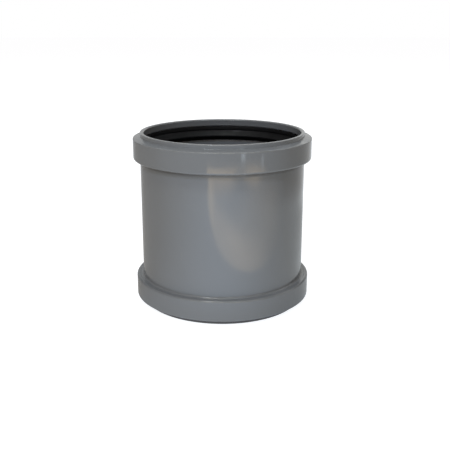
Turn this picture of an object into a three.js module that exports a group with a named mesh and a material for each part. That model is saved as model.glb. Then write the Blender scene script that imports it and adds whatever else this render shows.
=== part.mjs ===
import * as THREE from "three";
import { mergeVertices } from "three/addons/utils/BufferGeometryUtils.js";

// A push fit coupling: two pipe sockets back to back, each with a rubber ring seal trapped under a retaining cap.
// Millimetres. +Z runs up the bore, and the origin is the centre of the lower rim.

// The pipe, and the coupling's length from rim to rim
const pipeRadius = 55;
const overallLength = 123.3;

// The body: its bore, barrel and pipe stop
const boreClearance = 0.45;
const barrelWall = 3.3;
const stopHeight = 2.65;
const stopThickness = 3;
const stopChamfer = 0.6;

// The body's seal cup, one at each end
const chamberRecess = 4;
const chamberLength = 10.6;
const cupWall = 1.6;
const cupFloor = 2.5;
const cupEdgeRound = 0.3;
const cupRimLead = 0.6;
const cupRimBreak = 0.4;
const barrelFillet = 0.8;
const boreLead = 0.8;

// The retaining cap: mouth lip, sloped shoulder and skirt
const mouthClearance = 0.75;
const mouthChamfer = 0.6;
const lipWall = 2.65;
const lipHeight = 3;
const lipRound = 0.35;
const lipFillet = 0.8;
const shoulderFall = 1.1;
const shoulderRound = 0.6;
const roofWall = 1.5;
const roofChamfer = 1;
const skirtClearance = 0.25;
const skirtWall = 2.3;
const toeRound = 0.8;

// The snap bead inside the skirt, and the groove that it sits in
const beadHeight = 0.6;
const beadCrestLength = 1.4;
const beadSetback = 6;

// The ring seal
const sealClearance = 0.25;
const sealSqueeze = 1.4;

// Steps round the axis, and steps in each rounded corner
const turnSteps = 60;
const cornerSteps = 2;
const broadCornerSteps = 3;

const quarterTurn = Math.PI / 2;
const halfTurn = Math.PI;

const boreRadius = pipeRadius + boreClearance;
const barrelRadius = boreRadius + barrelWall;
const stopRadius = boreRadius - stopHeight;
const stopDepth = (overallLength - stopThickness) / 2;

const chamberRadius = boreRadius + chamberRecess;
const cupRadius = chamberRadius + cupWall;
const cupRimDepth = lipHeight + shoulderFall + roofWall;
const chamberFloorDepth = cupRimDepth + chamberLength;
const cupEndDepth = chamberFloorDepth + cupFloor;

const mouthRadius = pipeRadius + mouthClearance;
const lipRadius = mouthRadius + lipWall;
const skirtRadius = cupRadius + skirtClearance;
const collarRadius = skirtRadius + skirtWall;

const beadDepth = cupRimDepth + beadSetback;
const beadHalf = beadCrestLength / 2;
const beadRadius = skirtRadius - beadHeight;
const grooveRadius = beadRadius - skirtClearance;
const grooveHalf = beadHalf + skirtClearance;
const grooveRecess = cupRadius - grooveRadius;

const sealRadius = chamberRadius - sealClearance;
const sealTipRadius = pipeRadius - sealSqueeze;

// Every outline is a list of [radius, depth], where depth is measured inwards from the rim at that end.
// It runs up the outside, over the rim and down the inside.

// A rounded corner about a centre, from one direction to another. Zero points outwards, a quarter turn points deeper.
function corner(centreRadius, centreDepth, size, from, to, steps) {
  const points = [];
  for (let i = 0; i <= steps; i += 1) {
    const direction = from + ((to - from) * i) / steps;
    points.push([
      centreRadius + size * Math.cos(direction),
      centreDepth + size * Math.sin(direction),
    ]);
  }
  return points;
}

// The outline placed at the upper end
function atUpperEnd(outline) {
  return outline.map(([radius, depth]) => new THREE.Vector2(radius, overallLength - depth));
}

// The outline mirrored to the lower end, walked the other way so that its faces still point out
function atLowerEnd(outline) {
  return outline.map(([radius, depth]) => new THREE.Vector2(radius, depth)).reverse();
}

// A closed outline turned round the axis, which is then stood up along +Z
function revolve(points) {
  const turned = new THREE.LatheGeometry([...points, points[0]], turnSteps);
  turned.deleteAttribute("normal");
  turned.deleteAttribute("uv");
  const geometry = mergeVertices(turned);
  geometry.rotateX(quarterTurn);
  geometry.computeVertexNormals();
  return geometry;
}

// Half of the body, from the top of the barrel round the seal cup and down the bore to the pipe stop
function bodyHalfOutline() {
  const filletCentreRadius = barrelRadius + barrelFillet;
  const filletCentreDepth = cupEndDepth + barrelFillet;
  return [
    ...corner(filletCentreRadius, filletCentreDepth, barrelFillet, halfTurn, halfTurn + quarterTurn, cornerSteps),
    [cupRadius - cupEdgeRound, cupEndDepth],
    [cupRadius, cupEndDepth - cupEdgeRound],
    [cupRadius, beadDepth + grooveHalf + grooveRecess],
    [grooveRadius, beadDepth + grooveHalf],
    [grooveRadius, beadDepth - grooveHalf],
    [cupRadius, beadDepth - grooveHalf - grooveRecess],
    [cupRadius, cupRimDepth + cupRimLead],
    [cupRadius - cupRimLead, cupRimDepth],
    [chamberRadius + cupRimBreak, cupRimDepth],
    [chamberRadius, cupRimDepth + cupRimBreak],
    [chamberRadius, chamberFloorDepth],
    [boreRadius + boreLead, chamberFloorDepth],
    [boreRadius, chamberFloorDepth + boreLead],
    [boreRadius, stopDepth],
    [stopRadius + stopChamfer, stopDepth],
    [stopRadius, stopDepth + stopChamfer],
  ];
}

// The cap, from the toe of its skirt up over the collar, the shoulder and the mouth lip, and down inside to the bead
function capOutline() {
  const slope = Math.atan2(shoulderFall, collarRadius - lipRadius);
  const shoulderDepth = (radius) => lipHeight + (radius - lipRadius) * Math.tan(slope);
  const shoulderCentreRadius = collarRadius - shoulderRound;
  const shoulderCentreDepth = shoulderDepth(shoulderCentreRadius) + shoulderRound / Math.cos(slope);
  const filletCentreRadius = lipRadius + lipFillet;
  const filletCentreDepth = shoulderDepth(filletCentreRadius) - lipFillet / Math.cos(slope);
  return [
    [skirtRadius, cupEndDepth],
    ...corner(collarRadius - toeRound, cupEndDepth - toeRound, toeRound, quarterTurn, 0, broadCornerSteps),
    ...corner(shoulderCentreRadius, shoulderCentreDepth, shoulderRound, 0, slope - quarterTurn, broadCornerSteps),
    ...corner(filletCentreRadius, filletCentreDepth, lipFillet, quarterTurn + slope, halfTurn, cornerSteps),
    ...corner(lipRadius - lipRound, lipRound, lipRound, 0, -quarterTurn, cornerSteps),
    [mouthRadius + mouthChamfer, 0],
    [mouthRadius, mouthChamfer],
    [mouthRadius, cupRimDepth - roofChamfer],
    [mouthRadius + roofChamfer, cupRimDepth],
    [skirtRadius, cupRimDepth],
    [skirtRadius, beadDepth - beadHalf - beadHeight],
    [beadRadius, beadDepth - beadHalf],
    [beadRadius, beadDepth + beadHalf],
    [skirtRadius, beadDepth + beadHalf + beadHeight],
  ];
}

// The seal fills its chamber from roof to floor: a heel against the cup wall, a round bead near the roof,
// and a wiping lip that slants inwards and down, with a gap behind it. Each point is a share of the way
// from the lip's tip to the heel's back, and a share of the way from the roof to the floor.
function sealOutline() {
  const sectionShares = [
    [1, 1],
    [1, 0],
    [0.66, 0],
    [0.53, 0.04],
    [0.465, 0.12],
    [0.5, 0.2],
    [0.485, 0.28],
    [0.02, 0.63],
    [0, 0.67],
    [0.04, 0.71],
    [0.16, 0.7],
    [0.6, 0.4],
    [0.67, 0.42],
    [0.72, 0.5],
    [0.72, 1],
  ];
  const sectionWidth = sealRadius - sealTipRadius;
  return sectionShares.map(([widthShare, depthShare]) => [
    sealTipRadius + widthShare * sectionWidth,
    cupRimDepth + depthShare * chamberLength,
  ]);
}

function greyPlastic() {
  return new THREE.MeshStandardMaterial({ color: 0x7b8085, roughness: 0.3, metalness: 0 });
}

function blackRubber() {
  return new THREE.MeshStandardMaterial({ color: 0x1a1a1c, roughness: 0.55, metalness: 0 });
}

function piece(name, points, material) {
  const mesh = new THREE.Mesh(revolve(points), material);
  mesh.name = name;
  return mesh;
}

function couplingBody() {
  const half = bodyHalfOutline();
  return piece("coupling_body", [...atUpperEnd(half), ...atLowerEnd(half)], greyPlastic());
}

function retainingCap(name, place) {
  return piece(name, place(capOutline()), greyPlastic());
}

function ringSeal(name, place) {
  return piece(name, place(sealOutline()), blackRubber());
}

const coupling = new THREE.Group();
coupling.name = "push_fit_coupling";
coupling.add(couplingBody());
coupling.add(retainingCap("upper_retaining_cap", atUpperEnd));
coupling.add(retainingCap("lower_retaining_cap", atLowerEnd));
coupling.add(ringSeal("upper_seal", atUpperEnd));
coupling.add(ringSeal("lower_seal", atLowerEnd));

export default coupling;
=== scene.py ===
import math

import bmesh
import bpy
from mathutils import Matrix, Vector


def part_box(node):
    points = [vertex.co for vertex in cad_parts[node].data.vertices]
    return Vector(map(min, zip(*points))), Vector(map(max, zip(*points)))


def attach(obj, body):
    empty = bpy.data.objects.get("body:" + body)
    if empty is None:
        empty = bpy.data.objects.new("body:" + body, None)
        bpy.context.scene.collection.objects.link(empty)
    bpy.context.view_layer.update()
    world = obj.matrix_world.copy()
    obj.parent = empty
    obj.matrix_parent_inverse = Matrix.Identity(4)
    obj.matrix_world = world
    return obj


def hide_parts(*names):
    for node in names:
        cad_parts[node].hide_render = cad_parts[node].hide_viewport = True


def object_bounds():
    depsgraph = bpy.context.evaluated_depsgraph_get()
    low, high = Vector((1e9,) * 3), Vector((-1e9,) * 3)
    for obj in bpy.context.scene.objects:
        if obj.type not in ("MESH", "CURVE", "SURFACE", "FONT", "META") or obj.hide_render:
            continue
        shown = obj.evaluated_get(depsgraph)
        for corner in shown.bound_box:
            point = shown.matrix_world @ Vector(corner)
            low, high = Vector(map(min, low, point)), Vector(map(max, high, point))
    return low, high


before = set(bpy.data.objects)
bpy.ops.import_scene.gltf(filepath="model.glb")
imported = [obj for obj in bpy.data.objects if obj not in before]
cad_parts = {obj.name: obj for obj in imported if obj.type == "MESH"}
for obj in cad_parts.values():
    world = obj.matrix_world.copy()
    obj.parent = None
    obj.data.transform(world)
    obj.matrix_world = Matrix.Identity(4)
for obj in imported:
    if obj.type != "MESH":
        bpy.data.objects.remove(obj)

# A push fit coupling: a grey moulded body, two grey retaining caps and two black ring seals.
# Sizes are millimetres, and meshes are written in metres. +Z runs up the bore from the lower rim.
cad_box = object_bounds()
MM = 0.001

# Sizes that the frame gives
cap_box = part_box("upper_retaining_cap")
seal_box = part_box("upper_seal")
overall_length = cad_box[1].z / MM
collar_radius = cap_box[1].x / MM
cup_end_depth = (cap_box[1].z - cap_box[0].z) / MM
seal_radius = seal_box[1].x / MM
cup_rim_depth = overall_length - seal_box[1].z / MM
chamber_length = (seal_box[1].z - seal_box[0].z) / MM
chamber_floor_depth = cup_rim_depth + chamber_length

# The pipe, the body's bore, barrel and pipe stop
pipe_radius = 55
bore_clearance = 0.45
barrel_wall = 3.3
stop_height = 2.65
stop_thickness = 3
stop_chamfer = 0.6
bore_radius = pipe_radius + bore_clearance
barrel_radius = bore_radius + barrel_wall
stop_radius = bore_radius - stop_height
stop_depth = (overall_length - stop_thickness) / 2

# The body's seal cup
chamber_recess = 4
cup_wall = 1.6
cup_rim_lead = 0.6
cup_rim_break = 0.4
barrel_fillet = 1.3
bore_lead = 0.8
chamber_radius = bore_radius + chamber_recess
cup_radius = chamber_radius + cup_wall

# The retaining cap
mouth_clearance = 0.75
mouth_chamfer = 0.6
lip_wall = 2.65
lip_height = 3
lip_round = 0.35
lip_fillet = 0.4
shoulder_fall = 1.1
shoulder_round = 0.5
roof_chamfer = 1
skirt_clearance = 0.06
toe_round = 1.35
mouth_radius = pipe_radius + mouth_clearance
lip_radius = mouth_radius + lip_wall
skirt_radius = cup_radius + skirt_clearance

# The cap's bead and the groove in the cup that it sits in
bead_height = 0.6
bead_half = 0.7
bead_setback = 6
bead_depth = cup_rim_depth + bead_setback
bead_radius = skirt_radius - bead_height
groove_radius = bead_radius - skirt_clearance
groove_half = bead_half + skirt_clearance
groove_recess = cup_radius - groove_radius

# The seal's wiping lip reaches inside the pipe's surface
seal_squeeze = 1.4
seal_tip_radius = pipe_radius - seal_squeeze

# Small rounds on edges, the steps in a rounded corner, and the steps round the axis
seam_round = 0.05
hair_round = 0.12
fine_round = 0.3
hair_steps = 2
fine_steps = 4
full_steps = 8
ring_steps = 288

# Colours of the finishes
plastic_grey = (0.175, 0.193, 0.219, 1)
dust_grey = (0.42, 0.41, 0.39, 1)
# The next colour is painted shade: a dark brownish grey laid in corners and under the collars.
painted_shade_grey = (0.058, 0.052, 0.046, 1)
rubber_black = (0.0075, 0.0075, 0.0085, 1)
lint_grey = (0.10, 0.10, 0.10, 1)

# Gloss of the finishes. A smeared place is smear_gain times as rough as a clean one.
polymer_ior = 1.5
rubber_shine = 0.15
body_roughness = 0.08
cap_roughness = 0.055
smear_gain = 1.75
greasy_roughness = 0.40
dry_roughness = 0.55

# How much of the surface is scuffed or dusty
body_scuffs = 0.42
cap_scuffs = 0.46
plastic_dust = 0.16
rubber_lint = 0.10

# How strongly each mark covers the colour, and how much it adds to the roughness
# The darkening in corners and under the collars is painted shade. Its cover darkens the colour, and its
# roughness is added there.
painted_shade_cover = 0.85
wear_cover = 0.12
scuff_cover = 0.07
painted_shade_roughness = 0.3
wear_roughness = 0.14
scuff_roughness = 0.16
dust_roughness = 0.9
lint_roughness = 0.8

# Relief. The depths are millimetres, and the two heights are shares of them.
plastic_relief = 0.5
plastic_relief_depth = 0.012
rubber_relief = 0.6
rubber_relief_depth = 0.03
scuff_height = -0.25
tool_mark_height = 0.7

# How broken up a band of wear or of painted shade is, and the share of its reach where it is at its full
# strength
wear_breaks = 0.7
painted_shade_breaks = 0.2
band_core = 0.35

# Where edges are worn, and where rings are darkened with painted shade, at both ends, as rings of (radius,
# depth, reach).
# The painted shade lies on the chamber floor under the seal's lip and in the corner at the pipe stop.
body_wear = [(stop_radius, stop_depth, 0.6)]
body_painted_shade = [
    (bore_radius + bore_lead, chamber_floor_depth, 2.0),
    (bore_radius, stop_depth, 1.2),
]
cap_wear = [
    (lip_radius, 0, 0.9),
    (mouth_radius, mouth_chamfer, 0.7),
    (collar_radius, lip_height + shoulder_fall, 0.9),
]

# Painted shade at one end alone, as rings of (radius, height, reach): on the barrel and the skirt's toe under
# the upper collar, and a painted contact shadow on the lower cap's lip where it meets the floor
barrel_top_painted_shade = (barrel_radius, overall_length - cup_end_depth, 3.2)
upper_skirt_painted_shade = (skirt_radius, overall_length - cup_end_depth, 1.0)
lower_lip_painted_shadow = (lip_radius, 1.2, 2.4)

# The view. The columns are where the bore's axis and the picture's middle lie, in pixels.
image_size = 450
focal_pixels = 709.2
axis_column = 221.856
centre_column = 224.5
sensor_width = 36
view_pitch = math.radians(16.613)
view_distance = 524.748
view_target_height = 53.193
view_limit = 100000

# The studio. Each softbox has its azimuth (0 is the camera's side) and elevation in degrees,
# its distance, width and height in millimetres, and its power and colour.
aim_height = 60
softboxes = {
    "front_strip": (-5, 0.5, 1200, 1700, 120, 2.8, (1.0, 0.95, 0.78)),
    "key_lamp": (-20, 43, 1500, 360, 180, 5.8, (0.86, 0.90, 1.0)),
    "high_lamp": (-22, 66, 1500, 450, 150, 2.6, (1.0, 0.92, 0.75)),
    "overhead_softbox": (0, 82, 1500, 900, 900, 5.0, (0.80, 0.95, 1.0)),
    "back_lamp": (180, 75, 1500, 300, 300, 3.4, (0.95, 0.92, 0.86)),
    "back_softbox": (180, 40, 1500, 600, 600, 2.9, (0.80, 0.92, 1.0)),
    "side_softbox": (98, 30, 1500, 700, 700, 1.7, (0.95, 0.97, 1.0)),
    "left_softbox": (-50, 50, 1500, 700, 700, 0.9, (0.95, 0.97, 1.0)),
}

# Panels that show only in the gloss of edges, ledges and rims, given in the same way
gloss_panels = {
    "front_panel": (0, 42, 1500, 3400, 900, 8.5, (1.0, 1.0, 0.97)),
    "back_panel": (180, 13, 1500, 2400, 480, 1.3, (1.0, 1.0, 0.97)),
    "right_back_panel": (160, 13, 1500, 900, 480, 0.2, (1.0, 1.0, 0.97)),
    "ledge_panel": (164, 24, 1500, 730, 300, 0.2, (1.0, 1.0, 0.97)),
}

# The surround as the camera, dull surfaces and glossy surfaces see it
surround_shown = (1, 1, 1, 1)
surround_light = (0.18, 0.12, 0.055, 1)
surround_gloss = (0.17, 0.17, 0.17, 1)

# The floor's half width, its own colour, and what it glows with where the camera sees it.
# In gloss it has a painted shade near the object: shade_share of its light up to shade_start, and all from
# shade_end.
floor_half = 6000
floor_grey = (0.4, 0.4, 0.4, 1)
floor_shown = (0.92, 0.94, 0.97, 1)
shade_start = 70
shade_end = 130
shade_share = 0.55

# What the floor sends back to dull and to glossy surfaces, as lobes of (azimuth in degrees,
# narrowness, nearest and farthest reach in millimetres, colour). A reach ends in a fade, which
# is reach_fade of it to either side, and whole_floor is past all but the floor's corners.
reach_fade = 0.15
whole_floor = 9000
dull_lobes = [
    (-26, 1, 0, whole_floor, (0.61, 0.551, 0.483)),
    (80, 3, 0, whole_floor, (0.11, 0.11, 0.11)),
    (180, 1, 0, whole_floor, (0.22, 0.23, 0.24)),
    (180, 4, 0, whole_floor, (0.65, 0.68, 0.71)),
]
gloss_lobes = [
    (0, 1, 0, whole_floor, (0.45, 0.62, 0.85)),
    (0, 3, 0, 460, (0.82, 1.06, 1.38)),
    (90, 2, 0, 365, (0.38, 0.44, 0.49)),
    (105, 1, 0, whole_floor, (0.11, 0.12, 0.13)),
    (145, 6, 300, whole_floor, (0.32, 0.33, 0.34)),
    (180, 8, 0, whole_floor, (0.50, 0.56, 0.64)),
    (-90, 1, 0, whole_floor, (0.12, 0.12, 0.12)),
]

# A warm reflector that lies on the floor in front and shows only in the gloss of the plastic.
# Its outline is a list of (x, y, round) corners in millimetres. The large round is the sharp edge
# of the patch, and beyond the far corners nothing glows. Each glow is (x, y, turn in degrees,
# half length, half width, strength), and is even over glow_core of its reach.
glow_core = 0.25
card_height = 1
card_outline = [
    (210, -60, 0),
    (-77, -210, 518),
    (-172, -535, 60),
    (-150, -680, 0),
    (560, -680, 0),
    (560, -60, 0),
]
card_glows = [
    (0, -230, 55, 250, 125, 1.35),
    (110, -200, 50, 140, 70, 0.4),
    (-135, -420, 70, 200, 80, 1.7),
    (230, -220, 10, 300, 200, 0.5),
    (-20, -470, 0, 300, 60, 1.8),
    (0, -530, 0, 250, 30, 4.2),
    (320, -410, 45, 190, 85, 2.2),
]
card_warm = (1.0, 0.74, 0.42, 1)

# A small cool reflector beside it, which shows as a pale fleck and a thin streak on the upper collar
fleck_height = 2
fleck_outline = [(180, -320, 0), (540, -320, 0), (540, -700, 0), (180, -700, 0)]
fleck_glows = [
    (271, -600, 115, 60, 48, 4.4),
    (450, -403, -41, 65, 24, 2.2),
]
fleck_cool = (0.78, 0.90, 1.0, 1)


def round_steps(size):
    """Steps in a rounded corner, by its size."""
    if size <= hair_round:
        return hair_steps
    return fine_steps if size <= fine_round else full_steps


def round_corner(mesh, point, size):
    """Rounds one corner of a wire outline, so that its arc has the radius given."""
    first, second = (edge.other_vert(point).co - point.co for edge in point.link_edges)
    turn = math.pi - first.angle(second)
    bmesh.ops.bevel(
        mesh,
        geom=[point],
        offset=size * MM * math.tan(turn / 2),
        offset_type="OFFSET",
        segments=round_steps(size),
        profile=0.5,
        affect="VERTICES",
        material=-1,
    )


def draw_outline(mesh, corners):
    """A closed wire outline of (x, y, z, round) corners, in millimetres."""
    points = [mesh.verts.new((x * MM, y * MM, z * MM)) for x, y, z, _ in corners]
    for start, end in zip(points, points[1:] + points[:1]):
        mesh.edges.new((start, end))
    for point, (_, _, _, size) in zip(points, corners):
        if size:
            round_corner(mesh, point, size)


def finish_mesh(name, mesh):
    """Turns a bmesh's faces outwards and makes it an object of the scene."""
    bmesh.ops.recalc_face_normals(mesh, faces=mesh.faces[:])
    data = bpy.data.meshes.new(name)
    mesh.to_mesh(data)
    mesh.free()
    piece = bpy.data.objects.new(name, data)
    bpy.context.scene.collection.objects.link(piece)
    return piece


def turned_ring(name, corners):
    """A closed outline of (radius, height, round) corners, spun once round the axis."""
    mesh = bmesh.new()
    draw_outline(mesh, [(radius, 0, height, size) for radius, height, size in corners])
    bmesh.ops.spin(
        mesh,
        geom=mesh.edges[:],
        cent=(0, 0, 0),
        axis=(0, 0, 1),
        angle=2 * math.pi,
        steps=ring_steps,
        use_merge=True,
    )
    ring = finish_mesh(name, mesh)
    ring.data.shade_smooth()
    even_shading = ring.modifiers.new("even_shading", "WEIGHTED_NORMAL")
    even_shading.keep_sharp = True
    return ring


def at_upper_end(outline):
    """An outline of (radius, depth, round) corners placed at the upper end."""
    return [(radius, overall_length - depth, size) for radius, depth, size in outline]


def at_lower_end(outline):
    """The same outline mirrored to the lower end."""
    return [(radius, depth, size) for radius, depth, size in reversed(outline)]


def body_half_outline():
    """From the foot of the barrel round the seal cup and down the bore to the pipe stop."""
    return [
        (barrel_radius, cup_end_depth, barrel_fillet),
        (cup_radius, cup_end_depth, seam_round),
        (cup_radius, bead_depth + groove_half + groove_recess, hair_round),
        (groove_radius, bead_depth + groove_half, hair_round),
        (groove_radius, bead_depth - groove_half, hair_round),
        (cup_radius, bead_depth - groove_half - groove_recess, hair_round),
        (cup_radius, cup_rim_depth + cup_rim_lead, hair_round),
        (cup_radius - cup_rim_lead, cup_rim_depth, hair_round),
        (chamber_radius + cup_rim_break, cup_rim_depth, hair_round),
        (chamber_radius, cup_rim_depth + cup_rim_break, hair_round),
        (chamber_radius, chamber_floor_depth, fine_round),
        (bore_radius + bore_lead, chamber_floor_depth, fine_round),
        (bore_radius, chamber_floor_depth + bore_lead, fine_round),
        (bore_radius, stop_depth, fine_round),
        (stop_radius + stop_chamfer, stop_depth, fine_round),
        (stop_radius, stop_depth + stop_chamfer, fine_round),
    ]


def cap_outline():
    """From the toe of the skirt up over the collar, the shoulder and the mouth lip, and down inside."""
    return [
        (skirt_radius, cup_end_depth, seam_round),
        (collar_radius, cup_end_depth, toe_round),
        (collar_radius, lip_height + shoulder_fall, shoulder_round),
        (lip_radius, lip_height, lip_fillet),
        (lip_radius, 0, lip_round),
        (mouth_radius + mouth_chamfer, 0, hair_round),
        (mouth_radius, mouth_chamfer, fine_round),
        (mouth_radius, cup_rim_depth - roof_chamfer, fine_round),
        (mouth_radius + roof_chamfer, cup_rim_depth, hair_round),
        (skirt_radius, cup_rim_depth, hair_round),
        (skirt_radius, bead_depth - bead_half - bead_height, hair_round),
        (bead_radius, bead_depth - bead_half, hair_round),
        (bead_radius, bead_depth + bead_half, hair_round),
        (skirt_radius, bead_depth + bead_half + bead_height, hair_round),
    ]


def seal_outline():
    """The heel, the round bead under the roof, a groove, and the wiping lip with the gap behind it.

    The shares run from the lip's tip to the heel's back, and from the chamber's roof to its floor.
    """
    section_shares = [
        (1, 1, 0.3),
        (1, 0, 0.3),
        (0.62, 0, 0.5),
        (0.47, 0.04, 0.35),
        (0.45, 0.2, 0.4),
        (0.56, 0.27, 0.3),
        (0.46, 0.37, 0.3),
        (0, 0.63, 0.25),
        (0.03, 0.71, 0.2),
        (0.16, 0.7, 0.2),
        (0.56, 0.45, 0.35),
        (0.72, 0.49, 0.5),
        (0.72, 1, 0.3),
    ]
    section_width = seal_radius - seal_tip_radius
    return [
        (seal_tip_radius + width_share * section_width, cup_rim_depth + depth_share * chamber_length, size)
        for width_share, depth_share, size in section_shares
    ]


def link_or_set(tree, socket, value):
    """Joins a socket to another node's output, or sets its value."""
    if isinstance(value, bpy.types.NodeSocket):
        tree.links.new(value, socket)
    else:
        socket.default_value = value


def place(tree, kind, inputs, **settings):
    """A node with its settings, and with inputs given by name or number."""
    node = tree.nodes.new(kind)
    for name, value in settings.items():
        setattr(node, name, value)
    for key, value in inputs.items():
        link_or_set(tree, node.inputs[key], value)
    return node


def calculate(tree, operation, *values):
    """The result of one arithmetic step."""
    inputs = dict(enumerate(values))
    return place(tree, "ShaderNodeMath", inputs, operation=operation).outputs[0]


def product(tree, *values):
    """Several values multiplied together."""
    result = values[0]
    for value in values[1:]:
        result = calculate(tree, "MULTIPLY", result, value)
    return result


def plus_share(tree, base, value, share):
    """A base with a share of another value added to it."""
    return calculate(tree, "MULTIPLY_ADD", value, share, base)


def strongest(tree, masks):
    """The highest of several masks."""
    result = masks[0]
    for mask in masks[1:]:
        result = calculate(tree, "MAXIMUM", result, mask)
    return result


def vector_step(tree, operation, *values):
    """One step of arithmetic on vectors or colours. Returns its node."""
    return place(tree, "ShaderNodeVectorMath", dict(enumerate(values)), operation=operation)


def length_of(tree, vector):
    """How long a vector is."""
    return vector_step(tree, "LENGTH", vector).outputs["Value"]


def scaled(tree, vector, factor):
    """A vector or colour times a factor."""
    return place(tree, "ShaderNodeVectorMath", {0: vector, "Scale": factor}, operation="SCALE").outputs[0]


def ramp(tree, value, low, high, low_result=0.0, high_result=1.0):
    """A smooth step from one result to the other as the value goes from low to high."""
    inputs = {"Value": value, "From Min": low, "From Max": high, "To Min": low_result, "To Max": high_result}
    return place(tree, "ShaderNodeMapRange", inputs, interpolation_type="SMOOTHSTEP").outputs["Result"]


def scale_for(tree, size):
    """The scale of a pattern whose lumps have the size given, which is a number or a socket."""
    if isinstance(size, bpy.types.NodeSocket):
        return calculate(tree, "DIVIDE", 1.0, size)
    return 1 / size


def noise(tree, position, size, detail, stretch=None, roughness=0.55):
    """Noise with lumps of one size, in millimetres. A stretch below 1 draws them out along that axis."""
    if stretch:
        position = place(tree, "ShaderNodeMapping", {"Vector": position, "Scale": stretch}).outputs[0]
    inputs = {"Vector": position, "Scale": scale_for(tree, size), "Detail": detail, "Roughness": roughness}
    return place(tree, "ShaderNodeTexNoise", inputs).outputs["Fac"]


def mottle(tree, position, size, detail, low, high, low_result=0.0, high_result=1.0):
    """Soft patches: noise that goes from one result to the other between two of its levels."""
    return ramp(tree, noise(tree, position, size, detail), low, high, low_result, high_result)


def blend_colours(tree, mask, below, above):
    """One colour laid over another where the mask is high."""
    node = place(tree, "ShaderNodeMix", {0: mask, 6: below, 7: above}, data_type="RGBA")
    return node.outputs[2]


def effect_group(name, inputs, output, output_kind):
    """A node group with named inputs and one output. Returns it, its inputs and its end node's sockets."""
    group = bpy.data.node_groups.new(name, "ShaderNodeTree")
    for label, kind, value in inputs:
        socket = group.interface.new_socket(label, in_out="INPUT", socket_type=kind)
        if value is not None:
            socket.default_value = value
    group.interface.new_socket(output, in_out="OUTPUT", socket_type=output_kind)
    start = group.nodes.new("NodeGroupInput")
    end = group.nodes.new("NodeGroupOutput")
    return group, start.outputs, end.inputs


def moulded_skin_group():
    """The skin of a moulding: a fine grain, soft ripples, and long draw marks along the bore."""
    group, given, result = effect_group(
        "moulded_skin",
        [
            ("Position", "NodeSocketVector", None),
            ("Grain Size", "NodeSocketFloat", 0.4),
            ("Grain Height", "NodeSocketFloat", 0.1),
            ("Ripple Size", "NodeSocketFloat", 7.0),
            ("Ripple Height", "NodeSocketFloat", 1.0),
            ("Draw Mark Height", "NodeSocketFloat", 0.3),
        ],
        "Height",
        "NodeSocketFloat",
    )
    position = given["Position"]
    grain = noise(group, position, given["Grain Size"], detail=1.0, roughness=0.5)
    ripple = noise(group, position, given["Ripple Size"], detail=0.5, roughness=0.5)
    draw_marks = noise(group, position, size=2.2, detail=1.5, stretch=(1, 1, 0.03))
    height = product(group, grain, given["Grain Height"])
    height = plus_share(group, height, ripple, given["Ripple Height"])
    height = plus_share(group, height, draw_marks, given["Draw Mark Height"])
    group.links.new(height, result["Height"])
    return group


def tone_drift_group():
    """A colour whose lightness drifts in broad clouds, with a few small flecks."""
    group, given, result = effect_group(
        "tone_drift",
        [
            ("Position", "NodeSocketVector", None),
            ("Colour", "NodeSocketColor", plastic_grey),
            ("Cloud Size", "NodeSocketFloat", 22.0),
            ("Cloud Amount", "NodeSocketFloat", 0.06),
            ("Fleck Spacing", "NodeSocketFloat", 5.0),
            ("Fleck Amount", "NodeSocketFloat", 0.12),
        ],
        "Colour",
        "NodeSocketColor",
    )
    middle_cloud = 0.5
    middle_fleck = 0.55
    position = given["Position"]
    clouds = noise(group, position, given["Cloud Size"], detail=4.0, roughness=0.5)
    drift = product(group, calculate(group, "SUBTRACT", clouds, middle_cloud), given["Cloud Amount"])
    spacing = scale_for(group, given["Fleck Spacing"])
    cells = place(group, "ShaderNodeTexVoronoi", {"Vector": position, "Scale": spacing})
    fleck = ramp(group, cells.outputs["Distance"], low=0.03, high=0.055, low_result=1.0, high_result=0.0)
    shade = place(group, "ShaderNodeSeparateColor", {0: cells.outputs["Color"]}).outputs[0]
    shade = calculate(group, "SUBTRACT", shade, middle_fleck)
    fleck = product(group, fleck, shade, given["Fleck Amount"])
    value = calculate(group, "ADD", calculate(group, "ADD", drift, fleck), 1.0)
    tinted = place(group, "ShaderNodeHueSaturation", {"Color": given["Colour"], "Value": value})
    group.links.new(tinted.outputs[0], result["Colour"])
    return group


def scuff_group():
    """Hairline marks that run along the bore, gathered in patches."""
    group, given, result = effect_group(
        "scuffs",
        [
            ("Position", "NodeSocketVector", None),
            ("Mark Width", "NodeSocketFloat", 0.35),
            ("Coverage", "NodeSocketFloat", 0.5),
        ],
        "Mask",
        "NodeSocketFloat",
    )
    patch_fade = 0.18
    position = given["Position"]
    lines = noise(
        group, position, given["Mark Width"], detail=0.0, stretch=(1, 1, 0.035), roughness=0.5,
    )
    lines = ramp(group, lines, low=0.70, high=0.80)
    patch_start = calculate(group, "SUBTRACT", 1.0, given["Coverage"])
    patch_end = calculate(group, "ADD", patch_start, patch_fade)
    patches = mottle(group, position, size=11, detail=2.0, low=patch_start, high=patch_end)
    group.links.new(product(group, lines, patches), result["Mask"])
    return group


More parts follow.
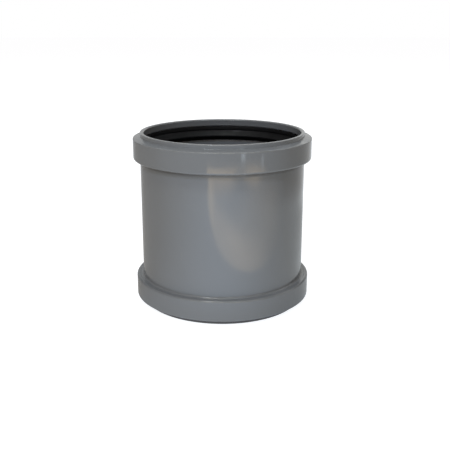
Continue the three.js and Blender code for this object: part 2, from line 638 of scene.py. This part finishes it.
def ring_band_group():
    """A band that follows one round edge or corner, broken up here and there."""
    group, given, result = effect_group(
        "ring_band",
        [
            ("Position", "NodeSocketVector", None),
            ("Ring Radius", "NodeSocketFloat", 50.0),
            ("Ring Height", "NodeSocketFloat", 0.0),
            ("Reach", "NodeSocketFloat", 1.0),
            ("Breaks", "NodeSocketFloat", 0.5),
        ],
        "Mask",
        "NodeSocketFloat",
    )
    position = given["Position"]
    parts = place(group, "ShaderNodeSeparateXYZ", {0: position})
    flat = place(group, "ShaderNodeCombineXYZ", {0: parts.outputs[0], 1: parts.outputs[1]})
    radius = length_of(group, flat.outputs[0])
    across = calculate(group, "SUBTRACT", radius, given["Ring Radius"])
    along = calculate(group, "SUBTRACT", parts.outputs[2], given["Ring Height"])
    square = plus_share(group, product(group, across, across), along, along)
    distance = calculate(group, "SQRT", square)
    core = product(group, given["Reach"], band_core)
    near = ramp(group, distance, core, given["Reach"], low_result=1.0, high_result=0.0)
    gaps = mottle(group, position, size=4.5, detail=4.0, low=0.35, high=0.65)
    gaps = product(group, gaps, given["Breaks"])
    kept = calculate(group, "SUBTRACT", 1.0, gaps)
    group.links.new(product(group, near, kept), result["Mask"])
    return group


def dust_group():
    """Dust that has settled on faces that look up, thicker in patches."""
    group, given, result = effect_group(
        "settled_dust",
        [
            ("Position", "NodeSocketVector", None),
            ("Facing", "NodeSocketVector", None),
            ("Amount", "NodeSocketFloat", 0.3),
        ],
        "Mask",
        "NodeSocketFloat",
    )
    position = given["Position"]
    upward = place(group, "ShaderNodeSeparateXYZ", {0: given["Facing"]}).outputs[2]
    upward = ramp(group, upward, low=0.2, high=0.95)
    grains = mottle(group, position, size=0.5, detail=3.0, low=0.42, high=0.68)
    patches = mottle(group, position, size=9, detail=3.0, low=0.3, high=0.7, low_result=0.35)
    group.links.new(product(group, upward, grains, patches, given["Amount"]), result["Mask"])
    return group


moulded_skin = moulded_skin_group()
tone_drift = tone_drift_group()
scuffs = scuff_group()
ring_band = ring_band_group()
settled_dust = dust_group()


def use_effect(tree, group, **inputs):
    """Places a shared effect in a material and returns what it puts out."""
    node = tree.nodes.new("ShaderNodeGroup")
    node.node_tree = group
    for name, value in inputs.items():
        link_or_set(tree, node.inputs[name.replace("_", " ")], value)
    return node.outputs[0]


def ring_bands(tree, position, rings, breaks):
    """One mask of the bands that follow rings of (radius, height, reach)."""
    return strongest(tree, [
        use_effect(
            tree,
            ring_band,
            Position=position,
            Ring_Radius=radius,
            Ring_Height=height,
            Reach=reach,
            Breaks=breaks,
        )
        for radius, height, reach in rings
    ])


def new_material(name):
    """A material with an empty Principled surface. Returns it, its tree, surface and coordinates."""
    material = bpy.data.materials.new(name)
    material.use_nodes = True
    tree = material.node_tree
    surface = tree.nodes["Principled BSDF"]
    coordinates = tree.nodes.new("ShaderNodeTexCoord")
    millimetres = place(
        tree,
        "ShaderNodeMapping",
        {"Vector": coordinates.outputs["Object"], "Scale": (1 / MM, 1 / MM, 1 / MM)},
    )
    return material, tree, surface, millimetres.outputs[0], coordinates.outputs["Normal"]


def add_relief(tree, surface, height, strength, depth):
    """Lets a height pattern, whose depth is in millimetres, catch the light."""
    bump = place(tree, "ShaderNodeBump", {"Height": height, "Strength": strength, "Distance": depth * MM})
    tree.links.new(bump.outputs[0], surface.inputs["Normal"])


def moulded_plastic(name, clean_roughness, scuff_coverage, worn_edges, painted_shade_rings):
    """Grey moulded plastic. Worn edges, and corners darkened with painted shade, are rings of (radius,
    height, reach).
    """
    material, tree, surface, position, facing = new_material(name)
    colour = use_effect(tree, tone_drift, Position=position, Colour=plastic_grey)
    marks = use_effect(tree, scuffs, Position=position, Coverage=scuff_coverage)
    wear = ring_bands(tree, position, worn_edges, wear_breaks)
    # The darkened rings are painted shade: they darken the colour towards a brownish grey and add roughness.
    painted_shade = ring_bands(tree, position, painted_shade_rings, painted_shade_breaks)
    dust = use_effect(tree, settled_dust, Position=position, Facing=facing, Amount=plastic_dust)
    colour = blend_colours(tree, product(tree, painted_shade, painted_shade_cover), colour, painted_shade_grey)
    lightened = plus_share(tree, product(tree, marks, scuff_cover), wear, wear_cover)
    colour = blend_colours(tree, strongest(tree, [lightened, dust]), colour, dust_grey)
    tree.links.new(colour, surface.inputs["Base Color"])

    smeared_roughness = smear_gain * clean_roughness
    roughness = mottle(
        tree,
        position,
        size=16,
        detail=5.0,
        low=0.3,
        high=0.75,
        low_result=clean_roughness,
        high_result=smeared_roughness,
    )
    roughness = plus_share(tree, roughness, marks, scuff_roughness)
    roughness = plus_share(tree, roughness, wear, wear_roughness)
    roughness = plus_share(tree, roughness, painted_shade, painted_shade_roughness)
    roughness = plus_share(tree, roughness, dust, dust_roughness)
    tree.links.new(roughness, surface.inputs["Roughness"])

    height = use_effect(tree, moulded_skin, Position=position)
    height = plus_share(tree, height, marks, scuff_height)
    add_relief(tree, surface, height, plastic_relief, plastic_relief_depth)
    surface.inputs["IOR"].default_value = polymer_ior
    return material


def seal_rubber(name):
    """Black moulded rubber with turned tool marks, a patchy film of grease, and a little lint."""
    material, tree, surface, position, facing = new_material(name)
    colour = use_effect(
        tree,
        tone_drift,
        Position=position,
        Colour=rubber_black,
        Cloud_Size=9.0,
        Cloud_Amount=0.5,
        Fleck_Amount=1.5,
    )
    lint = use_effect(tree, settled_dust, Position=position, Facing=facing, Amount=rubber_lint)
    tree.links.new(blend_colours(tree, lint, colour, lint_grey), surface.inputs["Base Color"])

    film = mottle(
        tree,
        position,
        size=7,
        detail=4.0,
        low=0.35,
        high=0.7,
        low_result=greasy_roughness,
        high_result=dry_roughness,
    )
    tree.links.new(plus_share(tree, film, lint, lint_roughness), surface.inputs["Roughness"])

    height = use_effect(
        tree,
        moulded_skin,
        Position=position,
        Grain_Size=0.16,
        Grain_Height=0.35,
        Ripple_Size=2.5,
        Draw_Mark_Height=0.0,
    )
    tool_marks = noise(tree, position, size=0.25, detail=1.0, stretch=(0.02, 0.02, 1))
    height = plus_share(tree, height, tool_marks, tool_mark_height)
    add_relief(tree, surface, height, rubber_relief, rubber_relief_depth)
    surface.inputs["IOR"].default_value = polymer_ior
    surface.inputs["Specular IOR Level"].default_value = rubber_shine
    return material


def both_ends(rings):
    """Rings of (radius, depth, reach) at the upper end and at the lower end."""
    upper = [(radius, overall_length - depth, reach) for radius, depth, reach in rings]
    return upper + list(rings)


def make_pieces():
    """The five pieces, each in the place of its CAD node."""
    body = turned_ring("body_moulding", at_upper_end(body_half_outline()) + at_lower_end(body_half_outline()))
    body_plastic = moulded_plastic(
        "body_plastic",
        body_roughness,
        body_scuffs,
        both_ends(body_wear),
        # painted shade at both ends, and under the upper collar on the barrel
        both_ends(body_painted_shade) + [barrel_top_painted_shade],
    )
    body.data.materials.append(body_plastic)
    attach(body, "root")
    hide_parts("coupling_body")

    cap_plastic = moulded_plastic(
        "cap_plastic",
        cap_roughness,
        cap_scuffs,
        both_ends(cap_wear),
        # painted shade under the upper collar and a painted contact shadow on the lower lip
        [upper_skirt_painted_shade, lower_lip_painted_shadow],
    )
    rubber = seal_rubber("seal_rubber")
    for end, at_end in (("upper", at_upper_end), ("lower", at_lower_end)):
        cap = turned_ring(f"{end}_cap_moulding", at_end(cap_outline()))
        cap.data.materials.append(cap_plastic)
        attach(cap, "root")
        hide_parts(f"{end}_retaining_cap")

        seal = turned_ring(f"{end}_seal_ring", at_end(seal_outline()))
        seal.data.materials.append(rubber)
        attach(seal, "root")
        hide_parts(f"{end}_seal")


def make_camera():
    """The camera at the photograph's angle, aimed a little below the middle of the barrel."""
    data = bpy.data.cameras.new("camera")
    data.sensor_width = sensor_width
    data.lens = sensor_width * focal_pixels / image_size
    data.shift_x = (centre_column - axis_column) / image_size
    data.clip_end = view_limit * MM
    camera = bpy.data.objects.new("camera", data)
    camera.location = (
        0,
        -view_distance * MM * math.cos(view_pitch),
        (view_target_height + view_distance * math.sin(view_pitch)) * MM,
    )
    camera.rotation_euler = (math.pi / 2 - view_pitch, 0, 0)
    bpy.context.scene.collection.objects.link(camera)
    bpy.context.scene.camera = camera


def flat_piece(name, outline, height):
    """A flat stage piece with an outline of (x, y, round) corners, in millimetres."""
    mesh = bmesh.new()
    draw_outline(mesh, [(x, y, height, size) for x, y, size in outline])
    bmesh.ops.edgeloop_fill(mesh, edges=mesh.edges[:])
    piece = finish_mesh(name, mesh)
    material = bpy.data.materials.new(name)
    material.use_nodes = True
    material.cycles.emission_sampling = "NONE"
    piece.data.materials.append(material)
    return piece, material.node_tree


def step_at(tree, distance, reach, near_result, far_result):
    """A fading step from one result to another at a distance in millimetres."""
    fade_start = (1 - reach_fade) * reach * MM
    fade_end = (1 + reach_fade) * reach * MM
    return ramp(tree, distance, fade_start, fade_end, near_result, far_result)


def bounce(tree, position, distance, lobes):
    """The colour that the floor sends back, as a sum of lobes that each favour one azimuth."""
    total = (0, 0, 0)
    for azimuth, narrowness, nearest, farthest, colour in lobes:
        turn = (0, 0, -math.radians(azimuth))
        turned = place(tree, "ShaderNodeMapping", {"Vector": position, "Rotation": turn})
        away = vector_step(tree, "NORMALIZE", turned.outputs[0])
        forward = place(tree, "ShaderNodeSeparateXYZ", {0: away.outputs[0]}).outputs[1]
        lobe = calculate(tree, "MAXIMUM", product(tree, forward, -1.0), 0.0)
        lobe = calculate(tree, "POWER", lobe, narrowness)
        lobe = product(tree, lobe, step_at(tree, distance, farthest, 1.0, 0.0))
        if nearest:
            lobe = product(tree, lobe, step_at(tree, distance, nearest, 0.0, 1.0))
        total = vector_step(tree, "ADD", total, scaled(tree, colour, lobe)).outputs[0]
    return total


def make_floor():
    """A plain pale floor, which shows nearly white and lights the object less than it shows."""
    outline = [
        (-floor_half, -floor_half, 0),
        (floor_half, -floor_half, 0),
        (floor_half, floor_half, 0),
        (-floor_half, floor_half, 0),
    ]
    _, tree = flat_piece("floor", outline, 0)
    surface = tree.nodes["Principled BSDF"]
    surface.inputs["Base Color"].default_value = floor_grey
    surface.inputs["Roughness"].default_value = 1
    surface.inputs["Specular IOR Level"].default_value = 0
    surface.inputs["Emission Strength"].default_value = 1
    path = tree.nodes.new("ShaderNodeLightPath").outputs
    position = tree.nodes.new("ShaderNodeTexCoord").outputs["Object"]
    distance = length_of(tree, position)
    # A painted shade on the floor near the object, seen only in gloss.
    open_share = ramp(tree, distance, shade_start * MM, shade_end * MM, shade_share, 1.0)
    dull = bounce(tree, position, distance, dull_lobes)
    gloss = scaled(tree, bounce(tree, position, distance, gloss_lobes), open_share)
    glow = blend_colours(tree, path["Is Glossy Ray"], dull, gloss)
    glow = blend_colours(tree, path["Is Camera Ray"], glow, floor_shown)
    tree.links.new(glow, surface.inputs["Emission Color"])


def make_reflector(name, outline, height, glows, colour):
    """A reflector on the floor, lit in soft patches. It lets all other light through."""
    card, tree = flat_piece(name, outline, height)
    card.visible_camera = False
    card.visible_diffuse = False
    card.visible_shadow = False
    position = tree.nodes.new("ShaderNodeTexCoord").outputs["Object"]
    strength = 0.0
    for x, y, turn, half_length, half_width, level in glows:
        local = place(
            tree,
            "ShaderNodeMapping",
            {
                "Vector": position,
                "Location": (x * MM, y * MM, height * MM),
                "Rotation": (0, 0, math.radians(turn)),
                "Scale": (half_length * MM, half_width * MM, 1),
            },
            vector_type="TEXTURE",
        )
        away = length_of(tree, local.outputs[0])
        patch = ramp(tree, away, glow_core, 1.0, low_result=level, high_result=0.0)
        strength = calculate(tree, "ADD", strength, patch)
    glow = place(tree, "ShaderNodeEmission", {"Color": colour, "Strength": strength})
    clear = tree.nodes.new("ShaderNodeBsdfTransparent")
    both = place(tree, "ShaderNodeAddShader", {0: glow.outputs[0], 1: clear.outputs[0]})
    tree.links.new(both.outputs[0], tree.nodes["Material Output"].inputs["Surface"])


def make_world():
    """A plain white surround, which lights the object less than it shows."""
    world = bpy.data.worlds.new("surround")
    bpy.context.scene.world = world
    world.use_nodes = True
    tree = world.node_tree
    background = tree.nodes["Background"]
    background.inputs["Strength"].default_value = 1
    path = tree.nodes.new("ShaderNodeLightPath").outputs
    colour = blend_colours(tree, path["Is Glossy Ray"], surround_light, surround_gloss)
    colour = blend_colours(tree, path["Is Camera Ray"], colour, surround_shown)
    tree.links.new(colour, background.inputs["Color"])


def make_softbox(name, azimuth, elevation, distance, width, height, power, colour, gloss_only=False):
    """A soft light aimed at the object. One for gloss alone leaves dull surfaces as they are."""
    data = bpy.data.lights.new(name, "AREA")
    data.shape = "RECTANGLE"
    data.size = width * MM
    data.size_y = height * MM
    data.energy = power
    data.color = colour
    light = bpy.data.objects.new(name, data)
    across = distance * math.cos(math.radians(elevation))
    aim = Vector((
        across * math.sin(math.radians(azimuth)),
        -across * math.cos(math.radians(azimuth)),
        distance * math.sin(math.radians(elevation)),
    ))
    light.location = (aim + Vector((0, 0, aim_height))) * MM
    light.rotation_euler = aim.to_track_quat("Z", "Y").to_euler()
    light.visible_camera = False
    light.visible_diffuse = not gloss_only
    bpy.context.scene.collection.objects.link(light)


make_camera()
make_floor()
make_reflector("warm_card", card_outline, card_height, card_glows, card_warm)
make_reflector("cool_card", fleck_outline, fleck_height, fleck_glows, fleck_cool)
make_world()
for light_name, settings in softboxes.items():
    make_softbox(light_name, *settings)
for light_name, settings in gloss_panels.items():
    make_softbox(light_name, *settings, gloss_only=True)
make_pieces()
bpy.context.scene.view_settings.view_transform = "Standard"
